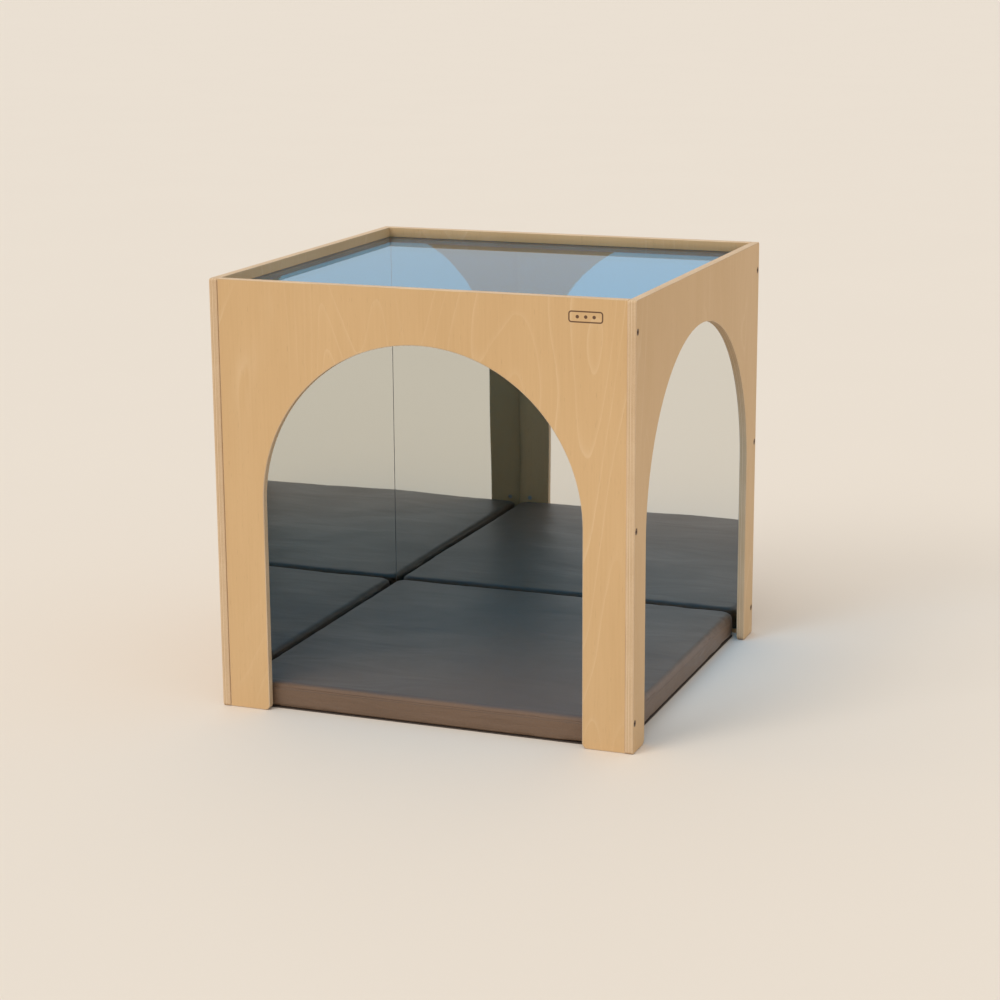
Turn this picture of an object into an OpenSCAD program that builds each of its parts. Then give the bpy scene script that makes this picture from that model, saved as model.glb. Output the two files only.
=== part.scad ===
// Children's mirror cube. Four plywood panels stand in a square, two of them cut
// with a round arch and two lined with a mirror. A tinted clear roof sheet sits in
// a groove below the rim, and a loose padded mat lies on the floor inside.
// X runs to the right across the front, Y from the front to the back and Z up.
// The origin is on the floor, at the middle of the footprint.

/* [Cube] */
// Overall width across the front
cube_w = 800; // [660:1:1000]
// Overall depth from front to back
cube_d = 790; // [650:1:1000]
// Overall height
cube_h = 800; // [660:1:1000]

/* [Plywood panels] */
// Thickness of the plywood
ply_t = 15; // [12:0.5:21]
// How far the front and back panels sit in from the edges of the side panels
panel_inset = 2; // [0:0.5:5]
// Radius of the outer corners of the side panels
corner_r = 5; // [2:0.5:12]

/* [Arched openings] */
// Width of each leg of the front panel
front_leg_w = 80; // [60:1:120]
// Width of each leg of the right panel
side_leg_w = 65; // [50:1:120]
// Height of the wood above the crown of each arch
crown_rail = 100; // [70:1:160]
// Radius at the foot of each leg, beside the opening
foot_r = 10; // [3:0.5:20]

/* [Roof sheet] */
// Thickness of the clear sheet
sheet_t = 5; // [3:0.5:8]
// Depth of the sheet's upper face below the rim
sheet_drop = 20; // [10:1:35]
// Depth of the groove that holds the sheet
groove_depth = 7; // [4:0.5:8]
// Room left at each edge of the sheet in its groove
sheet_edge_gap = 1; // [0.5:0.5:2]
// Room left above the sheet in its groove
sheet_play = 0.4; // [0.2:0.1:1]

/* [Mirrors] */
// Thickness of a mirror sheet
mirror_t = 3; // [2:0.5:5]
// Room left beside a mirror sheet
mirror_gap = 1; // [0.5:0.5:3]
// Height of the mirrors' lower edge above the floor
mirror_lift = 10; // [5:1:25]
// Room between a mirror and the roof sheet
mirror_head_gap = 5; // [2:1:15]
// Thickness of the adhesive foam tape
tape_t = 1; // [0.5:0.5:2]
// Width of a strip of tape
tape_w = 25; // [12:1:50]
// Number of tape strips behind each mirror
tape_count = 4; // [2:1:8]
// Distance from the edge of a mirror to its nearest tape
tape_margin = 40; // [20:1:80]

/* [Fasteners] */
// Height of the lowest bolts above the floor, and of the rim above the highest
bolt_edge = 55; // [45:1:90]
// Diameter of the connector bolts
bolt_d = 6; // [5:0.5:8]
// Diameter of a bolt's flat head
head_d = 12; // [10:0.5:14]
// Thickness of a bolt's head
head_t = 2.5; // [2:0.1:3.5]
// Depth of a bolt's head below the face of the panel
head_sink = 0.5; // [0.2:0.1:1]
// Size of the hexagon socket across its flats
socket_af = 4; // [3:0.5:5]
// Depth of the hexagon socket
socket_depth = 2; // [1.5:0.1:3]
// Distance from the end of a panel to its barrel nut
nut_from_end = 31; // [25:1:45]
// Diameter of a barrel nut
nut_d = 10; // [9:0.5:12]
// Depth of a barrel nut below the inner face
nut_sink = 0.5; // [0.2:0.1:1]
// Wood left beyond a barrel nut
nut_skin = 2.5; // [1.5:0.5:4]
// Width of the screwdriver slot in a barrel nut
nut_slot_w = 1.2; // [0.8:0.1:2]
// Depth of the screwdriver slot
nut_slot_depth = 1.5; // [0.8:0.1:2]
// Length of bolt that stands past its barrel nut
bolt_past_nut = 2; // [1:0.5:6]
// Diameter of the wooden dowels
dowel_d = 8; // [6:0.5:9]
// Length of the wooden dowels
dowel_len = 30; // [20:1:40]
// Depth of a dowel in the side panel
dowel_in_side = 10; // [6:0.5:10]
// Room around a bolt and its head in the wood
bolt_gap = 0.25; // [0.1:0.05:0.5]
// Room around a barrel nut and around a dowel
plug_gap = 0.1; // [0.05:0.05:0.3]
// Room left past the end of a bolt or a dowel
end_gap = 1; // [0.5:0.5:3]

/* [Floor mat] */
// Thickness of the mat
mat_h = 50; // [30:1:70]
// Room between the mat and the front panel, and between the mat and each mirror
mat_gap = 3; // [3:0.5:10]
// Room between the mat and the right panel
mat_side_gap = 12; // [3:0.5:20]
// Radius of the mat's corners in plan
mat_corner_r = 20; // [8:1:40]
// Thickness of the cover
cover_t = 1.5; // [1:0.1:2.5]
// Thickness of the non-slip base
base_t = 1.5; // [1:0.1:2.5]
// Length of the zip in the back of the cover
zip_len = 500; // [200:10:560]
// Width of the zip
zip_w = 12; // [8:1:20]
// How far the zip stands out of the cover
zip_proud = 0.8; // [0.5:0.1:1.2]
// How far the slider stands out of the zip
slider_proud = 1.2; // [0.8:0.1:1.6]

/* [Hidden] */
$fn = 96;

// Directions that name a corner
LEFT = -1;
RIGHT = 1;
FRONT = -1;
BACK = 1;
// How far a cutting shape runs past the face it cuts
over = 1;

// Inner faces of the panels
in_x = cube_w / 2 - ply_t;
in_y = cube_d / 2 - panel_inset - ply_t;

// Roof sheet and its groove
sheet_z = cube_h - sheet_drop - sheet_t;
sheet_w = 2 * (in_x + groove_depth - sheet_edge_gap);
sheet_d = 2 * (in_y + groove_depth - sheet_edge_gap);
groove_h = sheet_t + sheet_play;

// Mirrors
mirror_h = sheet_z - mirror_head_gap - mirror_lift;
mirror_stack = tape_t + mirror_t;
left_mirror_front = -in_y + mirror_gap;
left_mirror_back = in_y - mirror_stack - mirror_gap;
left_mirror_d = left_mirror_back - left_mirror_front;
back_mirror_w = 2 * (in_x - mirror_gap);

// Fasteners
bolt_heights = [bolt_edge, cube_h / 2, cube_h - bolt_edge];
dowel_heights = [(bolt_edge + cube_h / 2) / 2, cube_h - (bolt_edge + cube_h / 2) / 2];
nut_len = ply_t - nut_skin - nut_sink;
shank_len = ply_t - head_sink - head_t + nut_from_end + nut_d / 2 + bolt_past_nut;
bolt_reach = nut_from_end + nut_d / 2 + bolt_past_nut + end_gap;
dowel_in_end = dowel_len - dowel_in_side;

// Floor mat
mat_left = -in_x + mirror_stack + mat_gap;
mat_right = in_x - mat_side_gap;
mat_front = -in_y + mat_gap;
mat_back = in_y - mirror_stack - mat_gap;
mat_mid_x = (mat_left + mat_right) / 2;
slider_w = 9;
slider_h = zip_w - 2;
pull_w = 5;
pull_len = 16;

// Rectangle with round corners, centred on X and standing on Y = 0
module round_rect(w, h, r) {
    union() {
        translate([-w / 2 + r, 0]) square([w - 2 * r, h]);
        translate([-w / 2, r]) square([w, h - 2 * r]);
        for (x = [-w / 2 + r, w / 2 - r], y = [r, h - r]) translate([x, y]) circle(r);
    }
}

// Doorway with a half-round head, centred on X and open at the bottom.
// The feet beside it are rounded.
module arch(w, crown) {
    spring = crown - w / 2;
    translate([-w / 2, -over]) square([w, spring + over]);
    translate([0, spring]) circle(w / 2, $fn = 180);
    for (side = [0, 1]) mirror([side, 0]) translate([w / 2, 0]) difference() {
        translate([-over, -over]) square(foot_r + over);
        translate([foot_r, foot_r]) circle(foot_r);
    }
}

// Side panel lying in the Y-Z plane, from x = 0 to x = ply_t
module side_board(opening) {
    rotate([90, 0, 90]) linear_extrude(ply_t) difference() {
        round_rect(cube_d, cube_h, corner_r);
        if (opening > 0) arch(opening, cube_h - crown_rail);
    }
}

// Front or back panel lying in the X-Z plane, from y = 0 to y = ply_t
module end_board(opening) {
    translate([0, ply_t, 0]) rotate([90, 0, 0]) linear_extrude(ply_t) difference() {
        translate([-in_x, 0]) square([2 * in_x, cube_h]);
        if (opening > 0) arch(opening, cube_h - crown_rail);
    }
}

// Places a child at one corner. There x = 0 is the inner face of the side panel,
// with +X into the end panel, and y = 0 is the end panel's middle plane, with +Y
// towards the inside of the cube.
module at_corner(side, end) {
    translate([side * in_x, end * (in_y + ply_t / 2), 0])
        mirror([side == RIGHT ? 1 : 0, 0, 0])
            mirror([0, end == BACK ? 1 : 0, 0])
                children();
}

// Rod along +X from x0, standing at height z
module rod_x(x0, len, d, z) {
    translate([x0, 0, z]) rotate([0, 90, 0]) cylinder(h = len, d = d, $fn = 48);
}

// Holes of one corner, in the corner's own place
module corner_holes() {
    head_depth = head_sink + head_t;
    for (z = bolt_heights) {
        rod_x(-ply_t - over, head_depth + over, head_d + 2 * bolt_gap, z);
        rod_x(-ply_t, ply_t + bolt_reach, bolt_d + 2 * bolt_gap, z);
        translate([nut_from_end, ply_t / 2 + over, z]) rotate([90, 0, 0])
            cylinder(h = nut_sink + nut_len + over, d = nut_d + 2 * plug_gap, $fn = 48);
    }
    for (z = dowel_heights)
        rod_x(-dowel_in_side, dowel_len + end_gap, dowel_d + 2 * plug_gap, z);
}

// Holes of both corners at one side of the cube
module side_holes(side) {
    for (end = [FRONT, BACK]) at_corner(side, end) corner_holes();
}

// Holes of both corners at the front or at the back of the cube
module end_holes(end) {
    for (side = [LEFT, RIGHT]) at_corner(side, end) corner_holes();
}

// Groove all round the inside, stopped inside the side panels
module sheet_groove() {
    w = 2 * (in_x + groove_depth);
    d = 2 * (in_y + groove_depth);
    translate([-w / 2, -d / 2, sheet_z]) cube([w, d, groove_h]);
}

module left_panel() color("burlywood") difference() {
    translate([-cube_w / 2, 0, 0]) side_board(0);
    side_holes(LEFT);
    sheet_groove();
}

module right_panel() color("burlywood") difference() {
    translate([in_x, 0, 0]) side_board(cube_d - 2 * side_leg_w);
    side_holes(RIGHT);
    sheet_groove();
}

module front_panel() color("wheat") difference() {
    translate([0, -in_y - ply_t, 0]) end_board(2 * in_x - 2 * front_leg_w);
    end_holes(FRONT);
    sheet_groove();
}

module back_panel() color("wheat") difference() {
    translate([0, in_y, 0]) end_board(0);
    end_holes(BACK);
    sheet_groove();
}

module roof_sheet() color("lightsteelblue", 0.5)
    translate([-sheet_w / 2, -sheet_d / 2, sheet_z]) cube([sheet_w, sheet_d, sheet_t]);

module left_mirror() color("silver")
    translate([-in_x + tape_t, left_mirror_front, mirror_lift])
        cube([mirror_t, left_mirror_d, mirror_h]);

module back_mirror() color("silver")
    translate([-back_mirror_w / 2, in_y - mirror_stack, mirror_lift])
        cube([back_mirror_w, mirror_t, mirror_h]);

// Upright strips of tape spread along X over a length, tape_t thick along Y
module tape_strips(length) {
    step = (length - 2 * tape_margin - tape_w) / (tape_count - 1);
    for (i = [0 : tape_count - 1])
        translate([tape_margin + i * step, 0, mirror_lift + tape_margin])
            cube([tape_w, tape_t, mirror_h - 2 * tape_margin]);
}

module left_mirror_tape() color("white")
    translate([-in_x + tape_t, left_mirror_front, 0]) rotate([0, 0, 90])
        tape_strips(left_mirror_d);

module back_mirror_tape() color("white")
    translate([-back_mirror_w / 2, in_y - tape_t, 0]) tape_strips(back_mirror_w);

// Connector bolts of one corner
module corner_bolts(side, end) color("saddlebrown") at_corner(side, end)
    for (z = bolt_heights) difference() {
        union() {
            rod_x(-ply_t + head_sink, head_t, head_d, z);
            rod_x(-ply_t + head_sink + head_t, shank_len, bolt_d, z);
        }
        translate([-ply_t + head_sink - over, 0, z]) rotate([0, 90, 0])
            cylinder(h = socket_depth + over, d = socket_af / cos(30), $fn = 6);
    }

// Barrel nuts of one corner, each cross-bored for its bolt, with a slot in the end
// that shows which way the bore runs
module corner_barrel_nuts(side, end) color("lightgray") at_corner(side, end)
    for (z = bolt_heights) difference() {
        translate([nut_from_end, ply_t / 2 - nut_sink, z]) rotate([90, 0, 0])
            cylinder(h = nut_len, d = nut_d, $fn = 48);
        rod_x(nut_from_end - nut_d, 2 * nut_d, bolt_d, z);
        translate([nut_from_end - nut_d, ply_t / 2 - nut_sink - nut_slot_depth, z - nut_slot_w / 2])
            cube([2 * nut_d, nut_slot_depth + over, nut_slot_w]);
    }

// Wooden dowels of one corner
module corner_dowels(side, end) color("tan") at_corner(side, end)
    for (z = dowel_heights) rod_x(-dowel_in_side, dowel_len, dowel_d, z);

// Solid with the mat's outline, drawn in by a margin, from z0 up to z1
module mat_block(margin, z0, z1) {
    w = mat_right - mat_left - 2 * margin;
    d = mat_back - mat_front - 2 * margin;
    translate([mat_mid_x, mat_front + margin, z0])
        linear_extrude(z1 - z0) round_rect(w, d, mat_corner_r - margin);
}

module mat_cover() color("dimgray") difference() {
    mat_block(0, base_t, mat_h);
    mat_block(cover_t, base_t - over, mat_h - cover_t);
}

module mat_foam() color("khaki") mat_block(cover_t, base_t, mat_h - cover_t);

module mat_base() color("black") mat_block(0, 0, base_t);

module mat_zip() color("darkslategray")
    translate([mat_mid_x - zip_len / 2, mat_back, (mat_h - zip_w) / 2])
        cube([zip_len, zip_proud, zip_w]);

// Slider parked at the left end of the zip, with its pull hanging down
module mat_zip_slider() color("gray")
    translate([mat_mid_x - zip_len / 2 + slider_w, mat_back + zip_proud, mat_h / 2]) union() {
        translate([-slider_w / 2, 0, -slider_h / 2]) cube([slider_w, slider_proud, slider_h]);
        translate([-pull_w / 2, 0, -pull_len]) cube([pull_w, slider_proud, pull_len]);
    }

front_panel();
right_panel();
left_panel();
back_panel();
roof_sheet();
left_mirror();
back_mirror();
left_mirror_tape();
back_mirror_tape();
corner_bolts(LEFT, FRONT);  // front_left_bolts
corner_bolts(RIGHT, FRONT);  // front_right_bolts
corner_bolts(LEFT, BACK);  // back_left_bolts
corner_bolts(RIGHT, BACK);  // back_right_bolts
corner_barrel_nuts(LEFT, FRONT);  // front_left_barrel_nuts
corner_barrel_nuts(RIGHT, FRONT);  // front_right_barrel_nuts
corner_barrel_nuts(LEFT, BACK);  // back_left_barrel_nuts
corner_barrel_nuts(RIGHT, BACK);  // back_right_barrel_nuts
corner_dowels(LEFT, FRONT);  // front_left_dowels
corner_dowels(RIGHT, FRONT);  // front_right_dowels
corner_dowels(LEFT, BACK);  // back_left_dowels
corner_dowels(RIGHT, BACK);  // back_right_dowels
mat_cover();
mat_foam();
mat_base();
mat_zip();
mat_zip_slider();
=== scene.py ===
"""Looks of a children's mirror cube: birch plywood, blue acrylic, mirrors and a padded mat."""

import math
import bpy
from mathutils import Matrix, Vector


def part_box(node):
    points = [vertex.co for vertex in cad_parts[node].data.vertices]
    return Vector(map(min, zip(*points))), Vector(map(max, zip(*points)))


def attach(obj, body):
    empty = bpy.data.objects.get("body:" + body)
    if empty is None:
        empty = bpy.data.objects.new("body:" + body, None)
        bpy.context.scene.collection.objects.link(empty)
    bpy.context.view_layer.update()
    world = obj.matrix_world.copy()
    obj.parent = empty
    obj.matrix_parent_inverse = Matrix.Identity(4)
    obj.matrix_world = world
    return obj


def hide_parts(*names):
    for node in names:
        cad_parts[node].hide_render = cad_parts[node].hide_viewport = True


bl_info = {
    "name": "Mirror Play Cube",
    "version": (1, 0, 0),
    "blender": (4, 5, 0),
    "location": "3D View > Sidebar > Play Cube",
    "description": "Builds the visible pieces of a plywood mirror cube around its frame",
    "category": "Object",
}

import bmesh
import bpy
from bpy.props import (
    FloatProperty,
    FloatVectorProperty,
    IntProperty,
    PointerProperty,
)
from mathutils import Euler, Matrix, Vector, noise
from mathutils.bvhtree import BVHTree

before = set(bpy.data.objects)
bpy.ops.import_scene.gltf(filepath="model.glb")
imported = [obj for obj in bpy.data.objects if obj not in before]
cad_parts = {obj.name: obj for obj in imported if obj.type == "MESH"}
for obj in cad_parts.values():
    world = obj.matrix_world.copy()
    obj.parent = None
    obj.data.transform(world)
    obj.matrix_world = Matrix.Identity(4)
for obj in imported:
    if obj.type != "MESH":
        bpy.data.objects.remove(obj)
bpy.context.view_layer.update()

MM = 0.001
SAME = 0.01 * MM  # two points nearer than this are the same point
CUBE = "cube"
MAT = "floor_mat"
CORNERS = ("front_left", "front_right", "back_left", "back_right")
PANEL_AXES = {"front_panel": 1, "back_panel": 1, "left_panel": 0, "right_panel": 0}


def length(name, description, default, low=0.0, high=10.0):
    """A property that holds a length in metres."""
    return FloatProperty(
        name=name, description=description, default=default, min=low, max=high,
        precision=5, unit="LENGTH",
    )


def factor(name, description, default, high=1.0):
    """A property that holds a plain share or strength."""
    return FloatProperty(name=name, description=description, default=default, min=0.0, max=high)


def triple(name, description, default, **more):
    """A property that holds three numbers."""
    return FloatVectorProperty(name=name, description=description, default=default, size=3, **more)


def colour(name, description, default):
    """A property that holds a linear colour."""
    return triple(name, description, default, min=0.0, max=1.0, subtype="COLOR")


def direction(name, description, default):
    """A property that holds a direction."""
    return triple(name, description, default, subtype="DIRECTION")


def angle(name, description, degrees):
    """A property that holds an angle."""
    return FloatProperty(
        name=name, description=description, default=math.radians(degrees), unit="ROTATION"
    )


class PlywoodSettings(bpy.types.PropertyGroup):
    """Sizes and colours of the plywood panels"""

    arris: length("Arris", "Radius of the eased edges of a panel", 1.6 * MM)
    arris_steps: IntProperty(
        name="Arris steps", description="Flats in each eased edge", default=4, min=1, max=8
    )
    hole_size: length("Hole size", "Widest opening that is left sharp as a drilled hole", 20 * MM)
    plies: IntProperty(name="Plies", description="Veneers in the board", default=11, min=3, max=21)
    face_light: colour("Light face", "Light wood of the face veneer", (0.68, 0.445, 0.225))
    face_dark: colour("Dark face", "Dark wood of the face veneer", (0.56, 0.345, 0.155))
    growth_line: colour("Growth line", "Pale growth lines of the veneer", (0.86, 0.66, 0.43))
    edge_light: colour("Light ply", "Long-grain ply seen at an edge", (0.72, 0.525, 0.33))
    edge_dark: colour("Dark ply", "End-grain ply seen at an edge", (0.54, 0.355, 0.195))
    scorch: colour("Scorch", "Colour of the burnt mark", (0.075, 0.03, 0.016))
    mark_in: length("Mark in", "Middle of the burnt mark from the panel's right edge", 75 * MM)
    mark_down: length("Mark down", "Middle of the burnt mark below the rim", 33 * MM)
    mark_width: length("Mark width", "Half the width of the burnt mark", 30 * MM)
    mark_height: length("Mark height", "Half the height of the burnt mark", 9 * MM)
    mark_corner: length("Mark corner", "Radius of the burnt mark's corners", 4.5 * MM)
    mark_line: length("Mark line", "Half the thickness of the burnt outline", 1.5 * MM)
    dot_size: length("Dot size", "Radius of a burnt dot", 3.4 * MM)
    dot_spacing: length("Dot spacing", "Distance between burnt dots", 15 * MM)


class SheetSettings(bpy.types.PropertyGroup):
    """Sizes and colours of the acrylic roof and the mirrors"""

    roof_edge: length("Roof edge", "Polished edge of the roof sheet", 0.5 * MM)
    mirror_edge: length("Mirror edge", "Polished edge of a mirror", 0.4 * MM)
    tint: colour("Tint", "Light that passes the roof sheet", (0.04, 0.47, 1.0))
    top_gloss: factor("Top gloss", "Mirroring of the upper side at a slant", 0.87)
    under_gloss: factor("Under gloss", "Mirroring of the under side at a slant", 0.2)
    silver: colour("Silver", "Light that a mirror returns", (0.80, 0.81, 0.785))
    backing: colour("Backing", "Paint on the back of a mirror", (0.18, 0.19, 0.2))


class FixingSettings(bpy.types.PropertyGroup):
    """Sizes and colours of bolts, nuts, dowels and tape"""

    metal_edge: length("Metal edge", "Broken edge of bolts and nuts", 0.3 * MM)
    dowel_edge: length("Dowel edge", "Chamfer at the ends of a dowel", 1 * MM)
    tape_edge: length("Tape edge", "Softened edge of the foam tape", 0.2 * MM)
    flutes: IntProperty(name="Flutes", description="Flutes round a dowel", default=16, min=6, max=32)
    flute_depth: length("Flute depth", "Depth of a dowel's flutes", 0.25 * MM)
    bronze: colour("Bronze", "Dark finish of the bolts", (0.105, 0.055, 0.032))
    bronze_worn: colour("Worn bronze", "Rubbed finish of the bolts", (0.27, 0.155, 0.085))
    zinc: colour("Zinc", "Plating of the barrel nuts", (0.56, 0.57, 0.58))


class MatSettings(bpy.types.PropertyGroup):
    """Shape and colours of the padded floor mat"""

    start_inset: length("Start inset", "How far inside its room the cover starts", 0.8 * MM)
    start_height: length("Start height", "Height of the cover before it swells", 46.5 * MM)
    edge_round: length("Edge round", "Roundness of the cover's upper edge", 8.5 * MM)
    foot_round: length("Foot round", "Roundness of the cover's lower edge", 1 * MM)
    corner_round: length("Corner round", "Roundness of the corners in plan", 22 * MM)
    voxel: length("Voxel", "Cell of the remesh", 6 * MM, low=4 * MM)
    pressure: factor("Pressure", "Cloth pressure that fills the cover", 4.0, high=20.0)
    frames: IntProperty(name="Frames", description="Steps of cloth", default=20, min=1, max=60)
    reach: length("Reach", "Furthest that the cloth may rise or sink", 2.5 * MM)
    give: length("Give", "Furthest that the walls may move in or out", 0.8 * MM)
    crown: length("Crown", "Rise of the middle above the edges", 1.8 * MM)
    seam_drop: length("Seam drop", "Depth of the upper seam below the room's top", 9.5 * MM)
    seam_depth: length("Seam depth", "How far a seam pulls the cover in", 1.0 * MM)
    seam_width: length("Seam width", "Width of the pulled-in line", 3 * MM)
    foot_seam: length("Foot seam", "Height of the lower seam above the cover's foot", 6 * MM)
    sway: length("Sway", "Gentle waves of the cover's top", 0.7 * MM)
    pull: length("Pull", "How far the walls wander inwards", 0.8 * MM)
    sag: length("Sag", "How far the upper rim dips at its tucks", 0.9 * MM)
    foam_gap: length("Foam gap", "Room at each side of the foam", 8 * MM)
    foam_below: length("Foam below", "Room under the foam", 2 * MM)
    foam_above: length("Foam above", "Room over the foam before the cover swells", 5 * MM)
    foam_round: length("Foam round", "Roundness of the foam's upper edge", 6 * MM)
    foam_foot: length("Foam foot", "Roundness of the foam's lower edge", 4 * MM)
    base_gap: length("Base gap", "How far the base stands back from its room", 1.8 * MM)
    base_round: length("Base round", "Roundness of the base's upper edge", 0.5 * MM)
    base_foot: length("Base foot", "Roundness of the base's lower edge", 0.3 * MM)
    stitch: length("Stitch", "Length of a stitch", 2.8 * MM)
    stitch_pitch: length("Stitch pitch", "Distance between stitches", 4.2 * MM)
    stitch_proud: length("Stitch proud", "How far a stitch stands off the cover", 0.35 * MM)
    stitch_high: length("Stitch height", "Half the height of a stitch", 0.38 * MM)
    # Painted shade: the top's colour is darker and greyer than the walls', for the dim blue light that
    # falls on the top through the roof.
    shaded_top_skin: colour("Top leatherette", "Colour of the cover's top", (0.121, 0.087, 0.062))
    wall_skin: colour("Wall leatherette", "Colour of the cover's walls", (0.165, 0.097, 0.057))


class StageSettings(bpy.types.PropertyGroup):
    """Camera, floor and lights"""

    camera_place: triple("Camera place", "Where the camera stands", (1.604, -4.162, 1.416),
                         unit="LENGTH")
    azimuth: angle("Azimuth", "Turn of the camera about the upright", 21.05)
    elevation: angle("Elevation", "How far the camera looks down", 13.62)
    roll: angle("Roll", "Turn of the camera about its own line of sight", -0.34)
    lens: FloatProperty(name="Lens", description="Focal length in mm", default=86.04)
    floor_size: length("Floor size", "Side of the floor", 400.0, high=1000.0)
    floor_gap: length("Floor gap", "How far the floor lies under the feet", 0.2 * MM)
    floor_colour: colour("Floor", "Pale floor", (0.76, 0.668, 0.562))
    sky_colour: colour("Sky", "Soft light all round", (0.96, 0.98, 1.0))
    sky_strength: factor("Sky strength", "Brightness of the soft light", 0.76, high=5.0)
    key_strength: factor("Key strength", "Brightness of the broad key light", 0.67, high=10.0)
    key_size: angle("Key size", "Spread of the key light, for soft shadows", 25)
    key_towards: direction("Key direction", "Where the key light shines", (0.42, 0.7, -0.58))
    ceiling_strength: factor("Ceiling strength", "Brightness of the light above", 0.9, high=10.0)
    ceiling_size: angle("Ceiling size", "Spread of the light above", 34)
    ceiling_towards: direction("Ceiling direction", "Where the light above shines", (0.15, 0.45, -1.0))


GROUPS = {
    "playcube_plywood": PlywoodSettings,
    "playcube_sheets": SheetSettings,
    "playcube_fixings": FixingSettings,
    "playcube_mat": MatSettings,
    "playcube_stage": StageSettings,
}


# Materials

FINISHES = {}


class Recipe:
    """A node material under construction, with one Principled shader."""

    def __init__(self, name, **plain):
        self.material = bpy.data.materials.new(name)
        self.material.use_nodes = True
        self.tree = self.material.node_tree
        self.tree.nodes.clear()
        self.output = self.node("OutputMaterial")
        self.shader = self.node("BsdfPrincipled")
        self.join(self.shader.outputs[0], self.output.inputs["Surface"])
        for socket, value in plain.items():
            self.put(socket.replace("_", " "), value)

    def node(self, kind, **options):
        """Adds a shader node."""
        made = self.tree.nodes.new("ShaderNode" + kind)
        for key, value in options.items():
            setattr(made, key, value)
        return made

    def join(self, source, target):
        """Links an output to an input."""
        self.tree.links.new(source, target)

    def feed(self, socket, value):
        """Links a socket, or sets it where the value is plain."""
        if isinstance(value, bpy.types.NodeSocket):
            self.join(value, socket)
        elif isinstance(value, tuple) and len(value) == 3 and socket.type == "RGBA":
            socket.default_value = (*value, 1.0)
        else:
            socket.default_value = value

    def put(self, name, value):
        """Sets or links one of the shader's own sockets."""
        self.feed(self.shader.inputs[name], value)

    def place(self, scale=(1, 1, 1), location=(0, 0, 0), turn=(0, 0, 0)):
        """Object coordinates, moved, turned and scaled."""
        mapping = self.node("Mapping")
        self.join(self.node("TexCoord").outputs["Object"], mapping.inputs["Vector"])
        mapping.inputs["Location"].default_value = location
        mapping.inputs["Rotation"].default_value = turn
        mapping.inputs["Scale"].default_value = scale
        return mapping.outputs[0]

    def noise(self, place, scale, detail=2.0, roughness=0.5, distortion=0.0):
        """Soft noise, with so many swells to a metre."""
        made = self.node("TexNoise")
        self.join(place, made.inputs["Vector"])
        made.inputs["Scale"].default_value = scale
        made.inputs["Detail"].default_value = detail
        made.inputs["Roughness"].default_value = roughness
        made.inputs["Distortion"].default_value = distortion
        return made.outputs["Fac"]

    def cells(self, place, scale, feature="F1"):
        """Distance from the middles of small cells."""
        made = self.node("TexVoronoi", feature=feature)
        self.join(place, made.inputs["Vector"])
        made.inputs["Scale"].default_value = scale
        return made.outputs["Distance"]

    def calc(self, operation, a, b=0.0, clamp=False):
        """One step of arithmetic."""
        made = self.node("Math", operation=operation, use_clamp=clamp)
        self.feed(made.inputs[0], a)
        self.feed(made.inputs[1], b)
        return made.outputs[0]

    def span(self, value, low, high, to_low=0.0, to_high=1.0, smooth=False):
        """Maps low..high onto to_low..to_high."""
        made = self.node("MapRange")
        made.interpolation_type = "SMOOTHSTEP" if smooth else "LINEAR"
        self.join(value, made.inputs["Value"])
        for socket, number in zip(("From Min", "From Max", "To Min", "To Max"),
                                  (low, high, to_low, to_high)):
            made.inputs[socket].default_value = number
        return made.outputs["Result"]

    def blend(self, share, a, b, mode="MIX"):
        """Mixes two colours."""
        made = self.node("Mix", data_type="RGBA", blend_type=mode)
        self.feed(made.inputs[0], share)
        self.feed(made.inputs[6], a)
        self.feed(made.inputs[7], b)
        return made.outputs[2]

    def relief(self, height, depth, strength=1.0, under=None):
        """A bump of a real depth in metres, on top of another."""
        made = self.node("Bump")
        made.inputs["Distance"].default_value = depth
        made.inputs["Strength"].default_value = strength
        self.join(height, made.inputs["Height"])
        if under is not None:
            self.join(under, made.inputs["Normal"])
        return made.outputs[0]


def settings(group):
    """The scene's settings for one group of pieces."""
    return getattr(bpy.context.scene, "playcube_" + group)


def finish(build):
    """The material that a maker builds, made the first time that it is asked for."""
    if build not in FINISHES:
        FINISHES[build] = build("finish_" + build.__name__)
    return FINISHES[build]


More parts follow.
